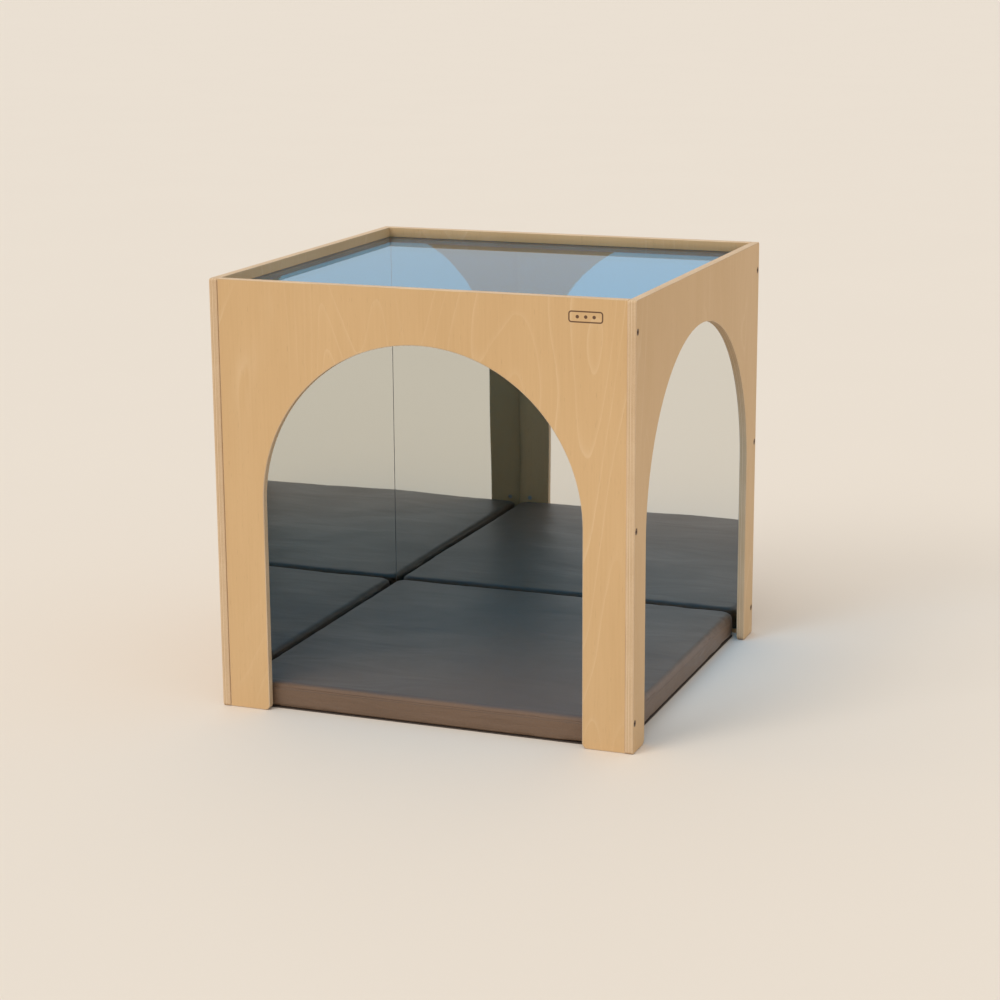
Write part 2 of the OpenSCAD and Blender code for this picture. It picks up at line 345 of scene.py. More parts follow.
def birch_face(name):
    """Rotary-cut birch veneer: even tan wood with tall pale growth lines and short pores, lacquered."""
    wood = settings("plywood")
    r = Recipe(name, Coat_Weight=0.04, Coat_Roughness=0.28, Specular_IOR_Level=0.3)
    hill = r.noise(r.place(scale=(1, 1, 0.24), location=(0.13, 0.4, 0.31)), 3.6, detail=2.0,
                   roughness=0.4, distortion=0.4)
    ripple = r.noise(r.place(scale=(1, 1, 0.12)), 30.0, detail=2)
    hill = r.calc("ADD", hill, r.span(ripple, 0.0, 1.0, -0.007, 0.007))
    ring = r.calc("FRACT", r.calc("MULTIPLY", hill, 23.0))
    line = r.calc("MULTIPLY", r.calc("POWER", ring, 14.0), r.span(ring, 1.0, 0.975, 0.0, 1.0))
    calm = r.noise(r.place(scale=(1, 1, 0.3), location=(3, 1, 0)), 3.4)
    broken = r.noise(r.place(scale=(1, 1, 0.2), location=(7, 2, 0)), 24.0, detail=1)
    line = r.calc("MULTIPLY", line, r.span(calm, 0.42, 0.62, 0.05, 1.0, smooth=True))
    line = r.calc("MULTIPLY", line, r.span(broken, 0.3, 0.6, 0.35, 1.0))
    tone = r.noise(r.place(scale=(1, 1, 0.3), location=(0, 5, 2)), 5.0, detail=4, roughness=0.55)
    grain = r.noise(r.place(scale=(1, 1, 0.03)), 260.0, detail=3, roughness=0.6)
    share = r.calc("ADD", r.span(tone, 0.25, 0.75, 0.25, 0.75), r.span(grain, 0.2, 0.8, -0.14, 0.14),
                  clamp=True)
    base = r.blend(share, tuple(wood.face_dark), tuple(wood.face_light))
    base = r.blend(r.calc("MULTIPLY", line, 0.36), base, tuple(wood.growth_line))
    pores = r.noise(r.place(scale=(1, 1, 0.06), location=(1, 2, 0)), 700.0, detail=1)
    pores = r.span(pores, 0.68, 0.76, 0.0, 0.28)
    base = r.blend(pores, base, (0.33, 0.19, 0.09))
    r.put("Base Color", burnt_mark(r, base))
    r.put("Roughness", r.span(tone, 0.2, 0.8, 0.52, 0.40))
    r.put("Normal", r.relief(r.calc("SUBTRACT", grain, pores), 0.05 * MM))
    return r.material


def burnt_mark(r, base):
    """A plain mark burnt into the front panel near its upper right corner: a frame round three dots."""
    wood = settings("plywood")
    low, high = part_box("front_panel")
    bend, line = wood.mark_corner, wood.mark_line
    flat_x, flat_z = wood.mark_width - bend, wood.mark_height - bend
    axes = r.node("SeparateXYZ")
    r.join(r.place(), axes.inputs[0])
    across = r.calc("ABSOLUTE", r.calc("SUBTRACT", axes.outputs[0], high.x - wood.mark_in))
    up = r.calc("ABSOLUTE", r.calc("SUBTRACT", axes.outputs[2], high.z - wood.mark_down))

    def reach(a, b):
        return r.calc("SQRT", r.calc("ADD", r.calc("MULTIPLY", a, a), r.calc("MULTIPLY", b, b)))

    past_x = r.calc("SUBTRACT", across, flat_x)
    past_z = r.calc("SUBTRACT", up, flat_z)
    from_flat = reach(r.calc("MAXIMUM", past_x, 0.0), r.calc("MAXIMUM", past_z, 0.0))
    from_line = r.calc("ABSOLUTE", r.calc("SUBTRACT", from_flat, bend))
    outline = r.span(from_line, line, 0.6 * line, 0.0, 1.0, smooth=True)
    outside = r.calc("GREATER_THAN", r.calc("MAXIMUM", past_x, past_z), 0.0)
    outline = r.calc("MULTIPLY", outline, outside)
    from_side_dot = r.calc("ABSOLUTE", r.calc("SUBTRACT", across, wood.dot_spacing))
    from_dot = reach(r.calc("MINIMUM", across, from_side_dot), up)
    dots = r.span(from_dot, wood.dot_size, wood.dot_size - 0.6 * MM, 0.0, 1.0, smooth=True)
    burnt = r.calc("MULTIPLY", r.calc("MAXIMUM", outline, dots), 0.9)
    at_front = r.span(axes.outputs[1], low.y + 1 * MM, low.y + 2 * MM, 1.0, 0.0)
    return r.blend(r.calc("MULTIPLY", burnt, at_front), base, tuple(wood.scorch))


def birch_edge(name):
    """Sawn edge of the board: thin plies, long grain and end grain in turn, and glue lines."""
    wood = settings("plywood")
    r = Recipe(name, Specular_IOR_Level=0.3)
    depth = r.node("Attribute", attribute_name="ply_depth").outputs["Fac"]
    wander = r.noise(r.place(), 9.0, detail=1)
    depth = r.calc("ADD", depth, r.span(wander, 0.2, 0.8, -0.012, 0.012))
    layer = r.calc("MULTIPLY", depth, float(wood.plies))
    odd = r.calc("FLOOR", r.calc("MODULO", layer, 2.0))
    within = r.calc("FRACT", layer)
    line = r.span(r.calc("ABSOLUTE", r.calc("SUBTRACT", within, 0.5)), 0.4, 0.5, 0.0, 0.65)
    speck = r.noise(r.place(), 700.0, detail=2, roughness=0.7)
    tone = r.noise(r.place(), 14.0, detail=3)
    own = r.node("TexWhiteNoise", noise_dimensions="1D")
    r.join(r.calc("FLOOR", layer), own.inputs["W"])
    share = r.calc("ADD", r.calc("MULTIPLY", odd, 0.5), r.span(speck, 0.3, 0.7, -0.2, 0.2))
    share = r.calc("ADD", share, r.span(own.outputs["Value"], 0.0, 1.0, -0.25, 0.55))
    share = r.calc("ADD", share, r.span(tone, 0.3, 0.7, -0.15, 0.2), clamp=True)
    base = r.blend(share, tuple(wood.edge_light), tuple(wood.edge_dark))
    r.put("Base Color", r.blend(line, base, (0.3, 0.18, 0.09)))
    r.put("Roughness", r.span(speck, 0.3, 0.7, 0.46, 0.62))
    r.put("Normal", r.relief(r.calc("SUBTRACT", speck, line), 0.08 * MM))
    return r.material


def clear_blue(name, gloss):
    """Thin clear blue acrylic: tinted light passes straight, and more is mirrored at a slant."""
    half_tint = tuple(c ** 0.5 for c in settings("sheets").tint)
    r = Recipe(name, Base_Color=(1.0, 1.0, 1.0), Metallic=1.0, Roughness=0.0)
    drawn = r.noise(r.place(), 1.6, detail=1)
    r.put("Normal", r.relief(drawn, 0.6 * MM))
    clear = r.node("BsdfTransparent")
    r.feed(clear.inputs["Color"], half_tint)
    slant = r.calc("POWER", r.node("LayerWeight").outputs["Facing"], 5.0)
    mix = r.node("MixShader")
    r.join(r.span(slant, 0.0, 1.0, 0.04 * gloss, gloss), mix.inputs[0])
    r.join(clear.outputs[0], mix.inputs[1])
    r.join(r.shader.outputs[0], mix.inputs[2])
    r.join(mix.outputs[0], r.output.inputs["Surface"])
    return r.material


def acrylic_top(name):
    """The upper side of the roof sheet, which the room is mirrored in."""
    return clear_blue(name, settings("sheets").top_gloss)


def acrylic_under(name):
    """The under side and the edges of the roof sheet."""
    return clear_blue(name, settings("sheets").under_gloss)


def mirror_face(name):
    """Silvered acrylic, not quite flat, as a thin sheet on tape never is."""
    r = Recipe(name, Base_Color=tuple(settings("sheets").silver), Metallic=1.0, Roughness=0.015)
    swell = r.noise(r.place(scale=(1, 1, 0.7)), 3.2, detail=1)
    r.put("Normal", r.relief(swell, 1.2 * MM))
    return r.material


def mirror_back(name):
    """Grey paint on the back and the edges of a mirror, rolled on."""
    r = Recipe(name, Specular_IOR_Level=0.4)
    stipple = r.noise(r.place(), 240.0, detail=2)
    paint = settings("sheets").backing
    r.put("Base Color", r.blend(stipple, tuple(c * 0.8 for c in paint), tuple(c * 1.25 for c in paint)))
    r.put("Roughness", r.span(stipple, 0.3, 0.7, 0.45, 0.65))
    r.put("Normal", r.relief(stipple, 0.05 * MM))
    return r.material


def worn_metal(name, dark, light, metallic, rough):
    """Plated metal with handling wear and fine turning marks."""
    r = Recipe(name, Metallic=metallic)
    wear = r.noise(r.place(), 320.0, detail=3, roughness=0.6)
    fine = r.noise(r.place(), 2600.0, detail=1)
    r.put("Base Color", r.blend(r.span(wear, 0.45, 0.7, smooth=True), dark, light))
    r.put("Roughness", r.span(wear, 0.3, 0.7, rough + 0.12, rough - 0.06))
    r.put("Normal", r.relief(fine, 0.01 * MM))
    return r.material


def antique_bronze(name):
    """Dark bronze finish of the connector bolts."""
    fixings = settings("fixings")
    return worn_metal(name, tuple(fixings.bronze), tuple(fixings.bronze_worn), 0.85, 0.38)


def zinc_plate(name):
    """Bright zinc of the barrel nuts."""
    zinc = settings("fixings").zinc
    return worn_metal(name, tuple(c * 0.8 for c in zinc), tuple(zinc), 0.9, 0.5)


def slider_metal(name):
    """Gunmetal of the zip's slider."""
    return worn_metal(name, (0.12, 0.12, 0.125), (0.26, 0.26, 0.27), 1.0, 0.32)


def beech(name):
    """Pressed beech of the dowels, with short dark rays."""
    r = Recipe(name)
    grain = r.noise(r.place(scale=(0.06, 1, 1)), 900.0, detail=2)
    rays = r.noise(r.place(scale=(0.2, 1, 1), location=(4, 0, 0)), 1500.0, detail=0)
    base = r.blend(grain, (0.45, 0.27, 0.14), (0.68, 0.46, 0.27))
    r.put("Base Color", r.blend(r.span(rays, 0.65, 0.75, 0, 0.6), base, (0.3, 0.15, 0.07)))
    r.put("Roughness", r.span(grain, 0.3, 0.7, 0.55, 0.72))
    r.put("Normal", r.relief(grain, 0.05 * MM))
    return r.material


def foam(name, light, dark, cell):
    """Open foam with small pores, darkened inside by painted shade."""
    r = Recipe(name, Specular_IOR_Level=0.2)
    pores = r.cells(r.place(), cell)
    drift = r.noise(r.place(), 12.0, detail=2)
    # Painted shade: the pores are coloured darker than the foam round them.
    base = r.blend(r.span(pores, 0.1, 0.55), dark, light)
    r.put("Base Color", r.blend(r.span(drift, 0.3, 0.7, 0.0, 0.25), base, dark))
    r.put("Roughness", r.span(pores, 0.0, 0.6, 1.0, 0.85))
    r.put("Normal", r.relief(pores, 0.4 * MM))
    return r.material


def tape_foam(name):
    """White closed-cell foam of the mirror tape."""
    # The darker colour is painted shade in the pores and the foam's own drifting tone.
    return foam(name, (0.82, 0.82, 0.79), (0.55, 0.55, 0.52), 1800.0)


def block_foam(name):
    """Pale yellow foam of the mat's filling."""
    # The darker colour is painted shade in the pores and the foam's own drifting tone.
    return foam(name, (0.80, 0.72, 0.42), (0.5, 0.42, 0.2), 700.0)


def leatherette(name):
    """Grey-brown leatherette: pebbled grain, drawn creases on the walls and soft ones on top, with
    painted shade on the top and in the grain's hollows.
    """
    pad = settings("mat")
    r = Recipe(name, Specular_IOR_Level=0.55, Sheen_Weight=0.04, Sheen_Roughness=0.4)
    pebble = r.cells(r.place(), 820.0, "SMOOTH_F1")
    fine = r.noise(r.place(), 1500.0, detail=2, roughness=0.6)
    grain = r.calc("ADD", r.span(pebble, 0.0, 0.7), r.calc("MULTIPLY", fine, 0.5))
    handled = r.noise(r.place(), 5.5, detail=3, roughness=0.55)
    tone = r.calc("ADD", r.span(grain, 0.2, 1.1, 0.0, 0.75), r.span(handled, 0.3, 0.7, 0.0, 0.35),
                 clamp=True)
    facing = r.node("SeparateXYZ")
    r.join(r.node("NewGeometry").outputs["Normal"], facing.inputs[0])
    # Painted shade: the top takes a darker, greyer colour than the walls, for the dim blue light that
    # reaches it through the roof.
    on_top = r.span(facing.outputs[2], 0.72, 0.99)
    skin = r.blend(on_top, tuple(pad.wall_skin), tuple(pad.shaded_top_skin))
    # The darker colour below is painted shade in the hollows of the pebbled grain; the handled noise
    # adds random tone on top of it.
    grooves = r.blend(on_top, tuple(c * 0.68 for c in pad.wall_skin),
                      tuple(c * 0.68 for c in pad.shaded_top_skin))
    r.put("Base Color", r.blend(tone, grooves, skin))
    r.put("Roughness", r.calc("ADD", r.span(handled, 0.3, 0.7, 0.33, 0.43),
                             r.calc("MULTIPLY", fine, 0.12)))
    on_walls = r.calc("SUBTRACT", 1.0, on_top)
    drawn = r.noise(r.place(scale=(1, 1, 7)), 10.0, detail=3, roughness=0.5, distortion=0.7)
    soft = r.noise(r.place(scale=(0.6, 1.5, 1), turn=(0, 0, 0.3)), 7.0, detail=3, roughness=0.42,
                   distortion=0.5)
    creases = r.relief(r.calc("MULTIPLY", drawn, on_walls), 2.2 * MM)
    creases = r.relief(r.calc("MULTIPLY", soft, on_top), 4.5 * MM, under=creases)
    r.put("Normal", r.relief(grain, 0.09 * MM, under=creases))
    return r.material


def thread_nylon(name):
    """Dark sewing thread, twisted."""
    r = Recipe(name, Roughness=0.6, Sheen_Weight=0.1)
    twist = r.noise(r.place(turn=(0.5, 0.4, 0.6)), 1400.0, detail=1)
    r.put("Base Color", r.blend(twist, (0.05, 0.04, 0.034), (0.12, 0.095, 0.08)))
    r.put("Normal", r.relief(twist, 0.05 * MM))
    return r.material


def dotted_vinyl(name):
    """Dark brown backing with small grip dots."""
    r = Recipe(name, Specular_IOR_Level=0.4)
    dots = r.span(r.cells(r.place(), 260.0), 0.25, 0.32, 1.0, 0.0)
    weave = r.noise(r.place(), 900.0, detail=2)
    r.put("Base Color", r.blend(dots, (0.075, 0.053, 0.04), (0.11, 0.082, 0.064)))
    r.put("Roughness", r.span(weave, 0.3, 0.7, 0.6, 0.8))
    r.put("Normal", r.relief(r.calc("ADD", dots, weave), 0.3 * MM))
    return r.material


def zip_tape(name):
    """Woven nylon of the zip."""
    r = Recipe(name, Roughness=0.75, Sheen_Weight=0.1)
    weave = r.noise(r.place(scale=(1, 1, 2.5)), 1600.0, detail=1)
    r.put("Base Color", r.blend(weave, (0.028, 0.024, 0.022), (0.07, 0.06, 0.055)))
    r.put("Normal", r.relief(weave, 0.1 * MM))
    return r.material


# Mesh helpers


def piece_from(bm, name, *materials):
    """Makes an object of a bmesh, links it and gives it its materials."""
    mesh = bpy.data.meshes.new(name)
    bm.to_mesh(mesh)
    bm.free()
    for material in materials:
        mesh.materials.append(material)
    piece = bpy.data.objects.new(name, mesh)
    bpy.context.scene.collection.objects.link(piece)
    return piece


def smooth(piece, degrees=40.0, weighted=True):
    """Shades a piece smooth up to an angle, with flat faces kept flat."""
    piece.data.shade_smooth()
    piece.data.set_sharp_from_angle(angle=math.radians(degrees))
    if weighted:
        piece.modifiers.new("flat faces", "WEIGHTED_NORMAL").keep_sharp = True
    return piece


def settle(piece, body, slot, *nodes):
    """Hangs a piece on its body and lets it stand for its nodes."""
    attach(piece, body)
    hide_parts(*nodes)
    return piece


def merged_copy(node):
    """A CAD node's mesh with its loose triangles merged into whole faces."""
    bm = bmesh.new()
    bm.from_mesh(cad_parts[node].data)
    bmesh.ops.remove_doubles(bm, verts=bm.verts, dist=SAME)
    bmesh.ops.dissolve_limit(bm, angle_limit=math.radians(0.5), verts=bm.verts, edges=bm.edges)
    return bm


def ease(bm, edges, radius, steps):
    """Rounds edges without letting the rounds run into each other."""
    bmesh.ops.bevel(
        bm, geom=edges, offset=radius, offset_type="OFFSET", affect="EDGES",
        segments=steps, profile=0.5, clamp_overlap=True, material=-1,
    )


def sharp_edges(bm, degrees=30.0):
    """Edges that turn by more than an angle."""
    return [
        e for e in bm.edges
        if len(e.link_faces) == 2 and e.calc_face_angle(0.0) > math.radians(degrees)
    ]


def eased_copy(node, name, build, edge, body, slot, degrees=30.0, steps=2):
    """A piece of a CAD node's own shape, with its edges broken."""
    bm = merged_copy(node)
    ease(bm, sharp_edges(bm, degrees), edge, steps)
    return settle(smooth(piece_from(bm, name, finish(build))), body, slot, node)


def add_block(bm, low, high):
    """Adds a block between two corners."""
    place = Matrix.Translation((low + high) / 2) @ Matrix.Diagonal((*(high - low), 1.0))
    bmesh.ops.create_cube(bm, size=1.0, matrix=place)


def slab(low, high):
    """A block between two corners, on its own."""
    bm = bmesh.new()
    add_block(bm, low, high)
    return bm


def along_x(middle):
    """A place whose own Z axis lies along X."""
    return Matrix.Translation(middle) @ Matrix.Rotation(math.pi / 2, 4, "Y")


# Panels


def linked_groups(edges):
    """Sorts edges into groups that touch end to end."""
    left, groups = set(edges), []
    for first in edges:
        if first not in left:
            continue
        left.remove(first)
        group, waiting = [first], [first]
        while waiting:
            for vert in waiting.pop().verts:
                for edge in vert.link_edges:
                    if edge in left:
                        left.remove(edge)
                        group.append(edge)
                        waiting.append(edge)
        groups.append(group)
    return groups


def span_of(edges):
    """Size of the box round some edges."""
    points = [v.co for e in edges for v in e.verts]
    return [max(p[i] for p in points) - min(p[i] for p in points) for i in range(3)]


def panel_arrises(bm, axis, low, high, hole_size):
    """The edges of a panel's two faces, without its drilled holes, groove and butted ends."""
    sheet_low, sheet_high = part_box("roof_sheet")
    near = 1 * MM
    inner = low[axis] if abs(low[axis]) < abs(high[axis]) else high[axis]
    found = []
    for e in sharp_edges(bm, degrees=60.0):
        a, b = (v.co for v in e.verts)
        on_face = any(
            abs(a[axis] - face) < 0.1 * near and abs(b[axis] - face) < 0.1 * near
            for face in (low[axis], high[axis])
        )
        if not on_face:
            continue
        if abs(a[axis] - inner) < near:
            in_groove = all(
                sheet_low.z - near < p.z < sheet_high.z + near for p in (a, b)
            )
            at_joint = axis == 1 and abs(abs(a.x) - high.x) < near and abs(a.x - b.x) < near
            if in_groove or at_joint:
                continue
        found.append(e)
    return [e for group in linked_groups(found) if max(span_of(group)) > hole_size for e in group]


def make_panel(node, axis):
    """One plywood panel, with eased arrises, veneered faces and bare ply edges."""
    wood = settings("plywood")
    bm = merged_copy(node)
    low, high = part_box(node)
    ease(bm, panel_arrises(bm, axis, low, high, wood.hole_size), wood.arris, wood.arris_steps)
    depth = bm.verts.layers.float.new("ply_depth")
    for vert in bm.verts:
        vert[depth] = (vert.co[axis] - low[axis]) / (high[axis] - low[axis])
    bm.normal_update()
    for face in bm.faces:
        middle = face.calc_center_median()[axis]
        outside = min(abs(middle - low[axis]), abs(middle - high[axis])) < 0.05 * MM
        face.material_index = 0 if outside and abs(face.normal[axis]) > 0.99 else 1
    board = piece_from(bm, node + "_board", finish(birch_face), finish(birch_edge))
    return settle(smooth(board), CUBE, "birch_plywood", node)


class PLAYCUBE_OT_panels(bpy.types.Operator):
    """Make the four plywood panels"""

    bl_idname = "playcube.panels"
    bl_label = "Plywood panels"

    def execute(self, context):
        for node, axis in PANEL_AXES.items():
            make_panel(node, axis)
        return {"FINISHED"}


# Roof sheet and mirrors


class PLAYCUBE_OT_roof(bpy.types.Operator):
    """Make the blue acrylic roof sheet"""

    bl_idname = "playcube.roof"
    bl_label = "Roof sheet"

    def execute(self, context):
        bm = slab(*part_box("roof_sheet"))
        ease(bm, bm.edges[:], settings("sheets").roof_edge, steps=2)
        for face in bm.faces:
            face.material_index = 0 if face.normal.z > 0.99 else 1
        sheet = piece_from(bm, "roof_pane", finish(acrylic_top), finish(acrylic_under))
        settle(smooth(sheet), CUBE, "blue_acrylic", "roof_sheet")
        return {"FINISHED"}


class PLAYCUBE_OT_mirrors(bpy.types.Operator):
    """Make the two mirrors and the tape that holds them"""

    bl_idname = "playcube.mirrors"
    bl_label = "Mirrors and tape"

    def execute(self, context):
        for node, axis, facing in (("left_mirror", 0, 1), ("back_mirror", 1, -1)):
            bm = slab(*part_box(node))
            ease(bm, bm.edges[:], settings("sheets").mirror_edge, steps=2)
            for face in bm.faces:
                face.material_index = 0 if face.normal[axis] * facing > 0.99 else 1
            pane = piece_from(bm, node + "_pane", finish(mirror_face), finish(mirror_back))
            settle(smooth(pane), CUBE, "mirror_acrylic", node)
            edge = settings("fixings").tape_edge
            eased_copy(node + "_tape", node + "_strips", tape_foam, edge, CUBE, "foam_tape")
        return {"FINISHED"}


# Fixings


def heights_of(node):
    """Heights of the middles of a node's separate solids, lowest first."""
    bm = merged_copy(node)
    middles = set()
    for group in linked_groups(bm.edges):
        points = [v.co.z for e in group for v in e.verts]
        middles.add(round((min(points) + max(points)) / 2, 5))
    bm.free()
    return sorted(middles)


def make_dowels(corner):
    """The dowels of one corner, fluted and chamfered."""
    fixings = settings("fixings")
    node = corner + "_dowels"
    low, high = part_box(node)
    radius = (high.y - low.y) / 2
    bm = bmesh.new()
    for z in heights_of(node):
        middle = Vector(((low.x + high.x) / 2, (low.y + high.y) / 2, z))
        rod = bmesh.ops.create_cone(
            bm, cap_ends=True, segments=2 * fixings.flutes, radius1=radius, radius2=radius,
            depth=high.x - low.x, matrix=along_x(middle),
        )["verts"]
        axis = Vector((0, middle.y, middle.z))
        for vert in rod:
            out = Vector((0, vert.co.y, vert.co.z)) - axis
            turn = round(math.atan2(out.z, out.y) / (math.pi / fixings.flutes))
            if turn % 2:
                vert.co -= out.normalized() * fixings.flute_depth
    ends = [e for e in bm.edges if abs(e.verts[0].co.x - e.verts[1].co.x) < SAME]
    ease(bm, ends, fixings.dowel_edge, steps=2)
    dowels = piece_from(bm, node + "_set", finish(beech))
    return settle(smooth(dowels, degrees=25.0), CUBE, "beech_dowel", node)


class PLAYCUBE_OT_fixings(bpy.types.Operator):
    """Make the bolts, barrel nuts and dowels of every corner"""

    bl_idname = "playcube.fixings"
    bl_label = "Bolts, nuts and dowels"

    def execute(self, context):
        metal = settings("fixings").metal_edge
        for corner in CORNERS:
            bolts, nuts = corner + "_bolts", corner + "_barrel_nuts"
            eased_copy(bolts, bolts + "_set", antique_bronze, metal, CUBE, "bronze_bolt")
            eased_copy(nuts, nuts + "_set", zinc_plate, metal, CUBE, "zinc_nut", degrees=50.0)
            make_dowels(corner)
        return {"FINISHED"}


# Floor mat


def rounded_block(low, high, corner, top_edge, foot_edge):
    """A block with round corners in plan and softer round edges above and below."""
    bm = slab(low, high)
    upright = [e for e in bm.edges if abs(e.verts[0].co.z - e.verts[1].co.z) > 0.1 * MM]
    ease(bm, upright, corner, steps=6)
    for z, edge in ((high.z, top_edge), (low.z, foot_edge)):
        rim = [
            e for e in sharp_edges(bm, degrees=60.0) if all(abs(v.co.z - z) < SAME for v in e.verts)
        ]
        ease(bm, rim, edge, steps=4)
    return bm


def apply_modifiers(piece):
    """Replaces a piece's mesh by what its modifiers make of it."""
    graph = bpy.context.evaluated_depsgraph_get()
    mesh = bpy.data.meshes.new_from_object(piece.evaluated_get(graph))
    piece.modifiers.clear()
    piece.data = mesh


def swell(piece, low, high):
    """Fills the cover by cloth pressure, no further than its reach and inside its room."""
    pad = settings("mat")
    before = [v.co.copy() for v in piece.data.vertices]
    cloth = piece.modifiers.new("swell", "CLOTH")
    cloth.settings.use_pressure = True
    cloth.settings.uniform_pressure_force = pad.pressure
    cloth.settings.effector_weights.gravity = 0.0
    cloth.point_cache.frame_end = pad.frames
    for step in range(1, pad.frames + 1):
        bpy.context.scene.frame_set(step)
    apply_modifiers(piece)
    bpy.context.scene.frame_set(1)
    most = Vector((pad.give, pad.give, pad.reach))
    for vert, old in zip(piece.data.vertices, before):
        move = [max(-m, min(m, c)) for m, c in zip(most, vert.co - old)]
        vert.co = Vector(max(a, min(b, c)) for a, b, c in zip(low, high, old + Vector(move)))


def drift(point, waves, layer):
    """Noise over the plan, with so many waves to a metre."""
    return noise.noise(Vector((point.x * waves, point.y * waves, layer)))


def crown(piece, low, high):
    """Lifts the middle of the top, and lets the walls and the top wander a little."""
    pad = settings("mat")
    half = (high - low) / 2
    middle = (low + high) / 2
    for vert in piece.data.vertices:
        across = (vert.co.x - middle.x) / half.x
        along = (vert.co.y - middle.y) / half.y
        height = max(0.0, (vert.co.z - low.z) / (pad.start_height - low.z))
        rise = max(0.0, 1 - across ** 4) * max(0.0, 1 - along ** 4)
        sway = drift(vert.co, 9, 4)
        vert.co.z += min(height, 1.0) ** 2 * (pad.crown * rise + pad.sway * sway * rise)
        rim = max(abs(across), abs(along)) ** 12
        bulge = drift(vert.co, 7, 9)
        tuck = drift(vert.co, 32, 2)
        pull = rim * (0.8 + 0.9 * bulge + 0.45 * tuck) * pad.pull * height
        vert.co.x -= pull * across
        vert.co.y -= pull * along
        vert.co.z -= rim * max(0.0, tuck) * pad.sag * height


def sew(bm, height, depth, width):
    """Pulls a level seam into the walls of the cover."""
    for z in (height - width / 2, height, height + width / 2):
        bmesh.ops.bisect_plane(
            bm, geom=bm.verts[:] + bm.edges[:] + bm.faces[:], dist=0.02 * MM,
            plane_co=(0, 0, z), plane_no=(0, 0, 1),
        )
    bm.normal_update()
    for vert in bm.verts:
        if abs(vert.co.z - height) < 0.05 * MM and abs(vert.normal.z) < 0.95:
            vert.co -= Vector((vert.normal.x, vert.normal.y, 0)).normalized() * depth


def plan_path(low, high, corner, pitch):
    """Points and outward directions round a rectangle with round corners, a pitch apart."""
    middle = (low + high) / 2
    flat = Vector(((high.x - low.x) / 2 - corner, (high.y - low.y) / 2 - corner))
    path = []
    for quarter in range(4):
        turn = quarter * math.pi / 2
        run = 2 * (flat.y if quarter % 2 == 0 else flat.x)
        out = Vector((math.cos(turn), math.sin(turn)))
        side = Vector((-out.y, out.x))
        reach = (flat.x if abs(out.x) > 0.5 else flat.y) + corner
        count = max(1, round(run / pitch))
        for i in range(count):
            here = out * reach + side * (run * (i + 0.5) / count - run / 2)
            path.append((here, out))
        corner_at = out * (reach - corner) + side * (run / 2)
        bends = max(1, round(corner * math.pi / 2 / pitch))
        for i in range(bends):
            lean = (i + 0.5) / bends * math.pi / 2
            aim = out * math.cos(lean) + side * math.sin(lean)
            path.append((corner_at + aim * corner, aim))
    return [(Vector((p.x + middle.x, p.y + middle.y)), aim) for p, aim in path]


def copies_of(template, places):
    """One bmesh with a copy of a small bmesh in each place."""
    one = bpy.data.meshes.new("copied_shape")
    template.to_mesh(one)
    template.free()
    bm = bmesh.new()
    for place in places:
        copy = one.copy()
        copy.transform(place)
        bm.from_mesh(copy)
        bpy.data.meshes.remove(copy)
    bpy.data.meshes.remove(one)
    return bm


def stitches(cover, height, low, high):
    """A row of stitches laid along the seam, each resting on the cover."""
    pad = settings("mat")
    tree = BVHTree.FromObject(cover, bpy.context.evaluated_depsgraph_get())
    one = bmesh.new()
    bmesh.ops.create_uvsphere(one, u_segments=6, v_segments=5, radius=1.0)
    size = Matrix.Diagonal((pad.stitch_proud, pad.stitch / 2, pad.stitch_high, 1.0))
    outside = 20 * MM
    places = []
    for point, out in plan_path(low, high, pad.corner_round, pad.stitch_pitch):
        aim = Vector((out.x, out.y, 0))
        start = Vector((point.x, point.y, height)) + aim * outside
        hit = tree.ray_cast(start, -aim)[0]
        if hit is None:
            raise RuntimeError("a stitch found no cover behind it")
        turn = Matrix.Rotation(math.atan2(aim.y, aim.x), 4, "Z")
        places.append(Matrix.Translation(hit) @ turn @ size)
    bm = copies_of(one, places)
    return piece_from(bm, "mat_stitching", finish(thread_nylon))


class PLAYCUBE_OT_mat_cover(bpy.types.Operator):
    """Make the leatherette cover of the mat, swollen by its filling and sewn round"""

    bl_idname = "playcube.mat_cover"
    bl_label = "Mat cover"

    def execute(self, context):
        pad = settings("mat")
        low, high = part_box("mat_cover")
        inset = Vector((pad.start_inset, pad.start_inset, 0))
        start_high = Vector((high.x, high.y, pad.start_height)) - inset
        bm = rounded_block(
            low + inset, start_high, pad.corner_round, pad.edge_round, pad.foot_round
        )
        cover = piece_from(bm, "mat_cover_leatherette")
        remesh = cover.modifiers.new("even cells", "REMESH")
        remesh.mode = "VOXEL"
        remesh.voxel_size = pad.voxel
        apply_modifiers(cover)
        swell(cover, low, high)
        crown(cover, low, high)
        finer = cover.modifiers.new("finer", "SUBSURF")
        finer.levels = finer.render_levels = 1
        apply_modifiers(cover)
        bm = bmesh.new()
        bm.from_mesh(cover.data)
        seam = high.z - pad.seam_drop
        sew(bm, seam, pad.seam_depth, pad.seam_width)
        sew(bm, low.z + pad.foot_seam, pad.seam_depth * 0.4, pad.seam_width)
        bm.to_mesh(cover.data)
        bm.free()
        cover.data.materials.append(finish(leatherette))
        settle(smooth(cover, degrees=70.0, weighted=False), MAT, "leatherette", "mat_cover")
        row = stitches(cover, seam - pad.seam_width, low, high)
        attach(smooth(row, weighted=False), MAT)
        return {"FINISHED"}


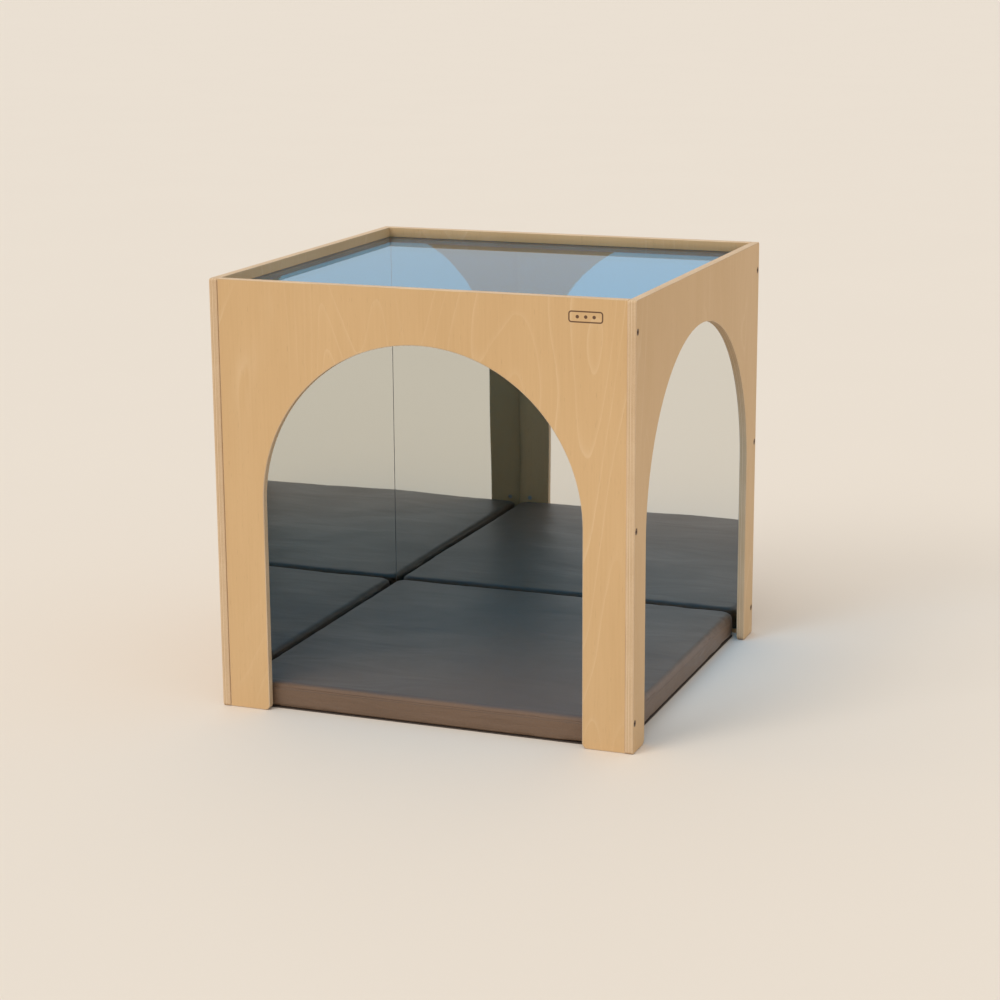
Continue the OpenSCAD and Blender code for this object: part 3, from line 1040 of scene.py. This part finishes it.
class PLAYCUBE_OT_mat_inside(bpy.types.Operator):
    """Make the mat's foam and its non-slip base"""

    bl_idname = "playcube.mat_inside"
    bl_label = "Mat filling and base"

    def execute(self, context):
        pad = settings("mat")
        low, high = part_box("mat_foam")
        inset = Vector((pad.foam_gap, pad.foam_gap, 0))
        low.z += pad.foam_below
        high.z = pad.start_height - pad.foam_above
        bm = rounded_block(
            low + inset, high - inset, pad.corner_round, pad.foam_round, pad.foam_foot
        )
        block = piece_from(bm, "mat_foam_block", finish(block_foam))
        settle(smooth(block), MAT, "mat_foam", "mat_foam")
        low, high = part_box("mat_base")
        inset = Vector((pad.base_gap, pad.base_gap, 0))
        bm = rounded_block(
            low + inset, high - inset, pad.corner_round, pad.base_round, pad.base_foot
        )
        base = piece_from(bm, "mat_base_vinyl", finish(dotted_vinyl))
        settle(smooth(base), MAT, "nonslip_base", "mat_base")
        return {"FINISHED"}


class PLAYCUBE_OT_zip(bpy.types.Operator):
    """Make the zip in the back of the mat and its slider"""

    bl_idname = "playcube.zip"
    bl_label = "Zip"

    tooth_pitch: length("Tooth pitch", "Distance between teeth of one row", 2.5 * MM)
    tooth_width: length("Tooth width", "Width of a tooth along the zip", 0.9 * MM)
    tooth_height: length("Tooth height", "Reach of a tooth across the zip", 2.4 * MM)
    tooth_shift: length("Tooth shift", "How far each row stands off the middle", 0.45 * MM)
    tape_gap: length("Tape gap", "Half the gap between the two tapes", 0.4 * MM)
    tape_proud: length("Tape proud", "How far the tape stands past the zip's inner side", 0.35 * MM)
    tape_tuck: length("Tape tuck", "How far the tape reaches into the cover", 3 * MM)
    slider_edge: length("Slider edge", "Rounded edges of the slider", 0.35 * MM)

    def execute(self, context):
        low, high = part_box("mat_zip")
        middle = (low.z + high.z) / 2
        bm = bmesh.new()
        for bottom, top in ((low.z, middle - self.tape_gap), (middle + self.tape_gap, high.z)):
            tape_low = Vector((low.x, low.y - self.tape_tuck, bottom))
            tape_high = Vector((high.x, low.y + self.tape_proud, top))
            add_block(bm, tape_low, tape_high)
        tape = piece_from(bm, "mat_zip_tape", finish(zip_tape))
        settle(smooth(tape), MAT, "zip_nylon", "mat_zip")
        bm = bmesh.new()
        count = int((high.x - low.x) / self.tooth_pitch)
        for i in range(2 * count):
            x = low.x + (i + 0.5) * self.tooth_pitch / 2
            z = middle + (self.tooth_shift if i % 2 else -self.tooth_shift)
            half = Vector((self.tooth_width, high.y - low.y, self.tooth_height)) / 2
            centre = Vector((x, (low.y + high.y) / 2, z))
            add_block(bm, centre - half, centre + half)
        teeth = piece_from(bm, "mat_zip_teeth", finish(zip_tape))
        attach(smooth(teeth), MAT)
        eased_copy("mat_zip_slider", "mat_zip_slider_pull", slider_metal, self.slider_edge, MAT,
                   "slider_zinc", steps=3)
        return {"FINISHED"}


# Stage


def broad_light(name, strength, size, towards):
    """A broad even light that shines along a direction, and isn't seen in mirrors itself."""
    light = bpy.data.lights.new(name, "SUN")
    light.energy = strength
    light.angle = size
    lamp = bpy.data.objects.new(name, light)
    lamp.visible_glossy = False
    bpy.context.scene.collection.objects.link(lamp)
    lamp.matrix_world = Vector(towards).to_track_quat("-Z", "Y").to_matrix().to_4x4()
    return lamp


def pale_floor(name):
    """Plain pale floor with the faintest mottling."""
    stage = settings("stage")
    r = Recipe(name, Roughness=0.7, Specular_IOR_Level=0.25)
    mottle = r.noise(r.place(), 1.3, detail=3)
    shade = tuple(stage.floor_colour)
    r.put("Base Color", r.blend(mottle, tuple(c * 0.98 for c in shade), shade))
    return r.material


class PLAYCUBE_OT_stage(bpy.types.Operator):
    """Set up the floor, the lights and the camera"""

    bl_idname = "playcube.stage"
    bl_label = "Stage"

    def execute(self, context):
        stage = settings("stage")
        scene = context.scene
        bm = bmesh.new()
        bmesh.ops.create_grid(bm, x_segments=1, y_segments=1, size=stage.floor_size / 2)
        bmesh.ops.translate(bm, verts=bm.verts, vec=(0, 0, -stage.floor_gap))
        piece_from(bm, "floor", pale_floor("pale_floor"))
        world = bpy.data.worlds.new("soft_sky")
        world.use_nodes = True
        sky = world.node_tree.nodes["Background"]
        sky.inputs["Color"].default_value = (*stage.sky_colour, 1.0)
        sky.inputs["Strength"].default_value = stage.sky_strength
        scene.world = world
        broad_light("key", stage.key_strength, stage.key_size, stage.key_towards)
        broad_light("ceiling", stage.ceiling_strength, stage.ceiling_size, stage.ceiling_towards)
        scene.view_settings.view_transform = "Standard"
        lens = bpy.data.cameras.new("camera")
        lens.lens = stage.lens
        camera = bpy.data.objects.new("camera", lens)
        scene.collection.objects.link(camera)
        tilt = Euler((math.pi / 2 - stage.elevation, 0, stage.azimuth)).to_matrix().to_4x4()
        roll = Matrix.Rotation(stage.roll, 4, "Z")
        camera.matrix_world = Matrix.Translation(stage.camera_place) @ tilt @ roll
        scene.camera = camera
        return {"FINISHED"}


OPERATORS = (
    PLAYCUBE_OT_stage,
    PLAYCUBE_OT_panels,
    PLAYCUBE_OT_roof,
    PLAYCUBE_OT_mirrors,
    PLAYCUBE_OT_fixings,
    PLAYCUBE_OT_mat_cover,
    PLAYCUBE_OT_mat_inside,
    PLAYCUBE_OT_zip,
)


class PLAYCUBE_PT_sidebar(bpy.types.Panel):
    """Lists the pieces of the cube and their settings"""

    bl_idname = "PLAYCUBE_PT_sidebar"
    bl_label = "Mirror Play Cube"
    bl_space_type = "VIEW_3D"
    bl_region_type = "UI"
    bl_category = "Play Cube"

    def draw(self, context):
        for operator in OPERATORS:
            self.layout.operator(operator.bl_idname)
        for name, group in GROUPS.items():
            box = self.layout.box()
            for field in group.__annotations__:
                box.prop(getattr(context.scene, name), field)


CLASSES = (*GROUPS.values(), *OPERATORS, PLAYCUBE_PT_sidebar)


def register():
    for cls in CLASSES:
        bpy.utils.register_class(cls)
    for name, group in GROUPS.items():
        setattr(bpy.types.Scene, name, PointerProperty(type=group))


def unregister():
    for name in GROUPS:
        delattr(bpy.types.Scene, name)
    for cls in reversed(CLASSES):
        bpy.utils.unregister_class(cls)


def main():
    register()
    for operator in OPERATORS:
        area, name = operator.bl_idname.split(".")
        getattr(getattr(bpy.ops, area), name)()


if __name__ == "__main__":
    main()
